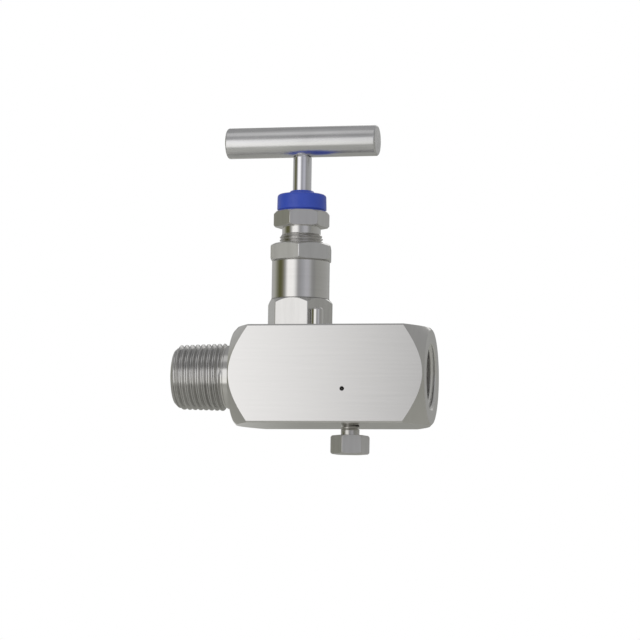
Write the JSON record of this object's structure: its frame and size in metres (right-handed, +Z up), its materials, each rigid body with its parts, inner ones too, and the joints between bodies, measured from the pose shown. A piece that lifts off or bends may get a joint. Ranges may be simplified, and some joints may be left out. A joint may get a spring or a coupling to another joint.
{
  "type": "instrument needle valve",
  "caption": "Block-pattern instrument needle valve with a tapered male inlet, tapered female outlet, packed T-bar spindle and a bleed screw under its outlet.",
  "frame": {"origin": "on the flow axis at the hand-tight plane of the male inlet thread, 8.13 mm from the spigot's end", "axes": "+X along the flow to the outlet, +Z up along the spindle, the vent hole in the face towards -Y"},
  "size_m": [0.0839, 0.0316, 0.1065],
  "materials": {
    "block_steel": "satin ground stainless steel with turned ends",
    "turned_steel": "bright turned stainless steel with drawn hexagon flats",
    "handle_steel": "stainless bar, finely ground along its length",
    "stem_steel": "burnished stainless steel",
    "ball_steel": "lapped stainless ball",
    "cap_plastic": "moulded blue polyethylene, half matt",
    "packing_ptfe": "white PTFE"
  },
  "bodies": {
    "valve": {"valve_body": "block_steel", "body_seal_ring": "packing_ptfe", "bonnet": "turned_steel", "bonnet_lock_pin": "stem_steel", "packing_lower_adapter": "packing_ptfe", "packing_ring_lower": "packing_ptfe", "packing_ring_middle": "packing_ptfe", "packing_ring_upper": "packing_ptfe", "packing_upper_adapter": "packing_ptfe", "packing_follower": "turned_steel", "gland_bolt": "turned_steel", "gland_lock_nut": "turned_steel", "dust_cap": "cap_plastic"},
    "tip": {"needle_tip": "stem_steel", "thrust_ball": "ball_steel"},
    "spindle": {"spindle": "stem_steel", "handle_bar": "handle_steel", "handle_grub_screw": "turned_steel"},
    "bleed_ball": {"bleed_ball": "ball_steel"},
    "bleed_screw": {"bleed_screw": "turned_steel"}
  },
  "joints": [
    {"name": "tip_lift", "type": "slide", "parent": "valve", "child": "tip", "axis": [0, 0, 1], "range_m": [0, 0.00375]},
    {"name": "spindle_turn", "type": "hinge", "parent": "tip", "child": "spindle", "pos_m": [0.03247, 0, 0.0767], "axis": [0, 0, 1], "range_deg": [0, 1080]},
    {"name": "bleed_ball_drop", "type": "slide", "parent": "valve", "child": "bleed_ball", "axis": [0, 0, -1], "range_m": [0, 0.002]},
    {"name": "bleed_screw_turn", "type": "hinge", "parent": "bleed_ball", "child": "bleed_screw", "pos_m": [0.04947, 0, -0.022], "axis": [0, 0, -1], "range_deg": [0, 720]}
  ],
  "couplings": [
    {"joint": "tip_lift", "follows": "spindle_turn", "m_per_rad": 0.00019894},
    {"joint": "bleed_ball_drop", "follows": "bleed_screw_turn", "m_per_rad": 0.00015915}
  ]
}
